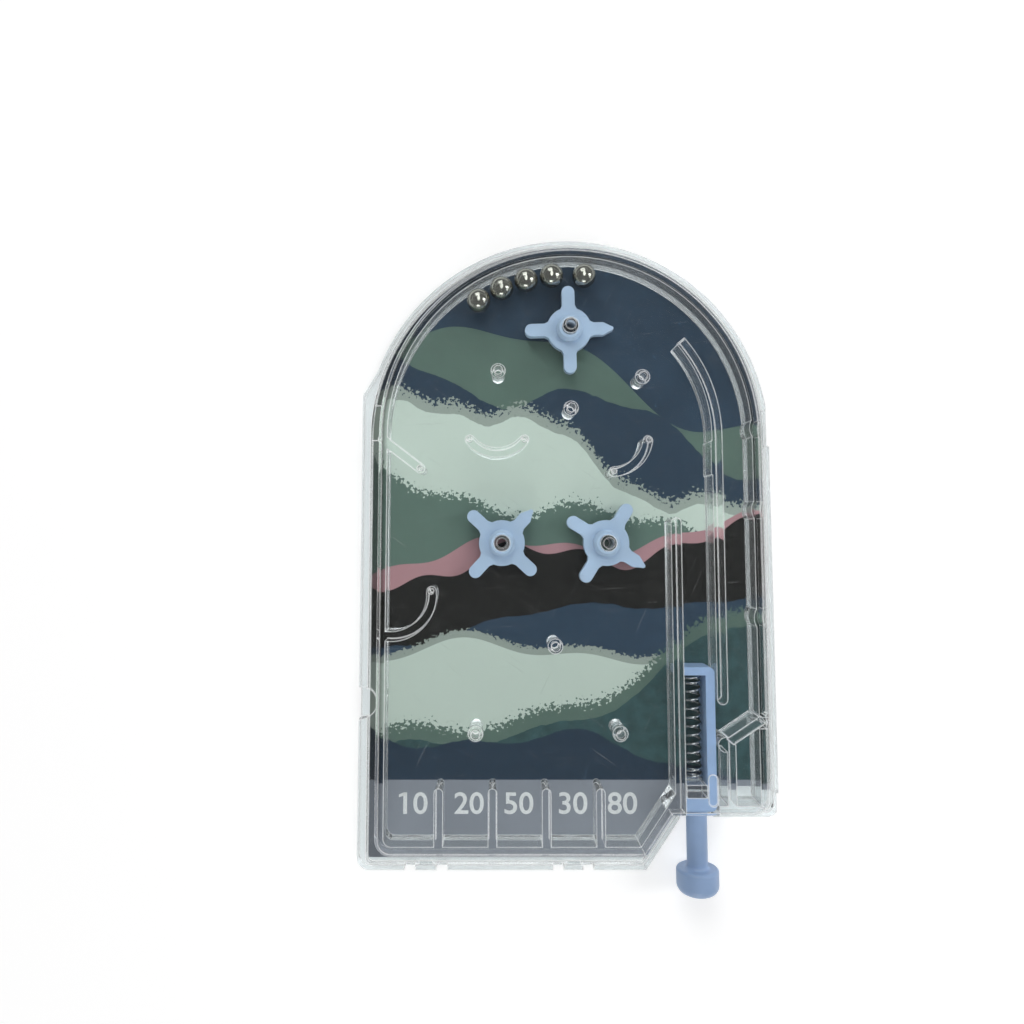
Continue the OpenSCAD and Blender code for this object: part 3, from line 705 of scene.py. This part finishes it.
def studio_world(scene):
    """A grey room that is white to the camera. A polished face mirrors a room that is dark
    overhead. Clear plastic shows a pale room straight through, and a dim one where it turns the
    light back. Only the steel under the window also mirrors two soft panes of light."""
    world = bpy.data.worlds.new("Studio")
    scene.world = world
    world.use_nodes = True
    tree = world.node_tree
    tree.nodes.clear()
    out = tree.nodes.new("ShaderNodeOutputWorld")
    path = tree.nodes.new("ShaderNodeLightPath")
    camera, metal, glass, bounces, crossings = (
        Ink(tree, path.outputs[name])
        for name in ("Is Camera Ray", "Is Glossy Ray", "Is Transmission Ray", "Glossy Depth",
                     "Transmission Depth"))
    direction = tree.nodes.new("ShaderNodeTexCoord").outputs["Generated"]
    across, along, height = split_axes(tree, direction)
    overhead = height.ramp(0.1, 0.45)

    def pane(middle_x, middle_y, half_width, half_length):
        """1 inside an ellipse of directions, soft at its rim, from 1 - u * u - v * v."""
        u = (across - middle_x) * (1 / half_width)
        v = (along - middle_y) * (1 / half_length)
        return (u * u + v * v).flipped().ramp(0.0, 0.4)

    bounced = bounces.least(1.0)
    under_window = crossings.ramp(2.4, 2.6) * bounced
    panes = pane(0.0, 0.14, 0.24, 0.46).most(pane(0.82, -0.19, 0.10, 0.32) * 0.7)
    inner = (overhead * -0.3 + 1.0) * bounced.flipped() + (overhead * 0.12 + 0.20) * bounced
    inner = inner + panes * overhead * under_window * 4.0
    mirrored = (overhead * -0.50 + 0.53) * glass.flipped() + inner * glass
    shiny = metal.most(glass)
    sky = tree.nodes.new("ShaderNodeBackground")
    (mirrored * shiny + shiny.flipped() * 0.42).to(sky.inputs["Strength"])
    white = tree.nodes.new("ShaderNodeBackground")
    white.inputs["Color"].default_value = (*WHITE, 1.0)
    white.inputs["Strength"].default_value = 1.0
    whole = blend(tree, camera, sky.outputs[0], white.outputs[0])
    tree.links.new(whole, out.inputs["Surface"])


def studio_camera(scene, settings):
    """A camera at the photograph's viewing angle."""
    data = bpy.data.cameras.new("Camera")
    data.lens = settings.lens
    data.sensor_width = SENSOR_MM
    data.shift_x, data.shift_y = (pixels / FRAME_PIXELS for pixels in SHIFT_PIXELS)
    data.clip_start = 0.001
    data.clip_end = 20.0
    camera = bpy.data.objects.new("Camera", data)
    scene.collection.objects.link(camera)
    camera.location = settings.camera_place
    camera.rotation_euler = (settings.camera_tilt, 0, 0)
    scene.camera = camera
    scene.view_settings.view_transform = "Standard"


class PINBALL_OT_stage(bpy.types.Operator):
    """Set the white floor, the soft lamps, the world and the camera"""

    bl_idname = "pinball.stage"
    bl_label = "Studio"

    def execute(self, context):
        scene = context.scene
        power = scene.pinball_stage.lamp_power
        white_floor(scene)
        area_lamp(scene, "Lamp_Head", (-0.16, 0.64, 0.56), 0.60, 0.60, power)
        area_lamp(scene, "Lamp_Right", (0.6, 0.06, 0.44), 0.22, 0.46, power * 0.6)
        area_lamp(scene, "Lamp_Foot", (-0.05, -0.75, 0.3), 0.5, 0.3, power * 0.6)
        studio_world(scene)
        studio_camera(scene, scene.pinball_stage)
        return {"FINISHED"}


class PINBALL_OT_clear_case(bpy.types.Operator):
    """Give both halves of the case their clear plastic"""

    bl_idname = "pinball.clear_case"
    bl_label = "Clear case"

    def execute(self, context):
        finish = context.scene.pinball_case
        finish_node("front_cover", clear_plastic("Clear_Cover", finish, 1.0, True))
        finish_node("back_case", clear_plastic("Clear_Back", finish, 2.0, False))
        return {"FINISHED"}


class PINBALL_OT_card(bpy.types.Operator):
    """Print the card"""

    bl_idname = "pinball.card"
    bl_label = "Printed card"

    def execute(self, context):
        finish_node("printed_card", printed_hills(context.scene.pinball_card))
        return {"FINISHED"}


class PINBALL_OT_numbers(bpy.types.Operator):
    """Set the score numbers on the card's strip"""

    bl_idname = "pinball.numbers"
    bl_label = "Score numbers"

    def execute(self, context):
        inks = context.scene.pinball_card
        material = number_ink(inks)
        for score, middle in SCORES:
            mesh, points = number_mesh(context, score)
            scale = inks.number_height / np.ptp(points[:, 1])
            points[:, :2] *= (scale * NUMBER_STRETCH, scale)
            points[:, 2] = np.sign(points[:, 2]) * INK_HALF_THICKNESS + CARD_TOP + INK_LIFT
            points[:, :2] += (middle / 1000, SCORE_LINE_Y)
            mesh.vertices.foreach_set("co", points.ravel())
            riding_piece("Score_" + score, mesh, material, "case")
            if score == "10":
                flag = flag_surface(points)
                new_piece("Score_Flag", *flag, material, "case", "card", smooth=False)
        return {"FINISHED"}


class PINBALL_OT_spinners(bpy.types.Operator):
    """Give the three spinners their pale moulded plastic"""

    bl_idname = "pinball.spinners"
    bl_label = "Spinners"

    def execute(self, context):
        material = moulded_plastic("Spinner_Plastic", context.scene.pinball_moving.spinner, 0.36)
        for node in ("spinner_top", "spinner_left", "spinner_right"):
            finish_node(node, material)
        return {"FINISHED"}


class PINBALL_OT_plunger(bpy.types.Operator):
    """Give the plunger its moulded plastic"""

    bl_idname = "pinball.plunger"
    bl_label = "Plunger"

    def execute(self, context):
        colour = context.scene.pinball_moving.plunger
        finish_node("plunger", moulded_plastic("Plunger_Plastic", colour, 0.33))
        return {"FINISHED"}


class PINBALL_OT_balls(bpy.types.Operator):
    """Make the five steel balls"""

    bl_idname = "pinball.balls"
    bl_label = "Steel balls"

    def execute(self, context):
        material = steel("Ball_Steel", context.scene.pinball_moving.ball, 0.05, 0.12)
        for node in ("ball_1", "ball_2", "ball_3", "ball_4", "ball_5"):
            low, high = span(node)
            points, faces = ball_surface((low + high) / 2, (high - low).mean() / 2)
            piece = new_piece("Steel_" + node, points, faces, material, node, "ball_steel")
            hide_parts(node)
        return {"FINISHED"}


class PINBALL_OT_spring(bpy.types.Operator):
    """Wind the plunger's spring"""

    bl_idname = "pinball.spring"
    bl_label = "Spring"

    def execute(self, context):
        centre = (SPRING_LOW + SPRING_HIGH) / 2
        width, length, _ = SPRING_HIGH - SPRING_LOW
        points, faces = coil_surface(SPRING_HIGH[1], length, centre, (width - WIRE) / 2)
        material = steel("Spring_Steel", context.scene.pinball_moving.spring, 0.14, 0.2)
        piece = new_piece("Wound_Spring", points, faces, material, "case", "spring_steel")
        (length - PULL) / length
        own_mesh(piece)
        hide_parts("plunger_spring")
        return {"FINISHED"}


STEPS = (
    PINBALL_OT_stage,
    PINBALL_OT_clear_case,
    PINBALL_OT_card,
    PINBALL_OT_numbers,
    PINBALL_OT_spinners,
    PINBALL_OT_plunger,
    PINBALL_OT_balls,
    PINBALL_OT_spring,
)

GROUPS = {
    "pinball_case": CaseFinish,
    "pinball_card": CardPrint,
    "pinball_moving": MovingFinish,
    "pinball_stage": StageSettings,
}


class PINBALL_PT_panel(bpy.types.Panel):
    """Every step that dresses the game, in order"""

    bl_label = "Handheld Pinball Game"
    bl_idname = "PINBALL_PT_panel"
    bl_space_type = "VIEW_3D"
    bl_region_type = "UI"
    bl_category = "Pinball"

    def draw(self, context):
        for step in STEPS:
            self.layout.operator(step.bl_idname)
        for group in GROUPS:
            box = self.layout.box()
            settings = getattr(context.scene, group)
            for name in settings.__annotations__:
                box.prop(settings, name)


def register():
    for name, group in GROUPS.items():
        bpy.utils.register_class(group)
        setattr(bpy.types.Scene, name, bpy.props.PointerProperty(type=group))
    for step in STEPS:
        bpy.utils.register_class(step)
    bpy.utils.register_class(PINBALL_PT_panel)


def unregister():
    bpy.utils.unregister_class(PINBALL_PT_panel)
    for step in reversed(STEPS):
        bpy.utils.unregister_class(step)
    for name, group in GROUPS.items():
        delattr(bpy.types.Scene, name)
        bpy.utils.unregister_class(group)


def main():
    """Registers the add-on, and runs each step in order."""
    register()
    bpy.ops.pinball.stage()
    bpy.ops.pinball.clear_case()
    bpy.ops.pinball.card()
    bpy.ops.pinball.numbers()
    bpy.ops.pinball.spinners()
    bpy.ops.pinball.plunger()
    bpy.ops.pinball.balls()
    bpy.ops.pinball.spring()


if __name__ == "__main__":
    main()
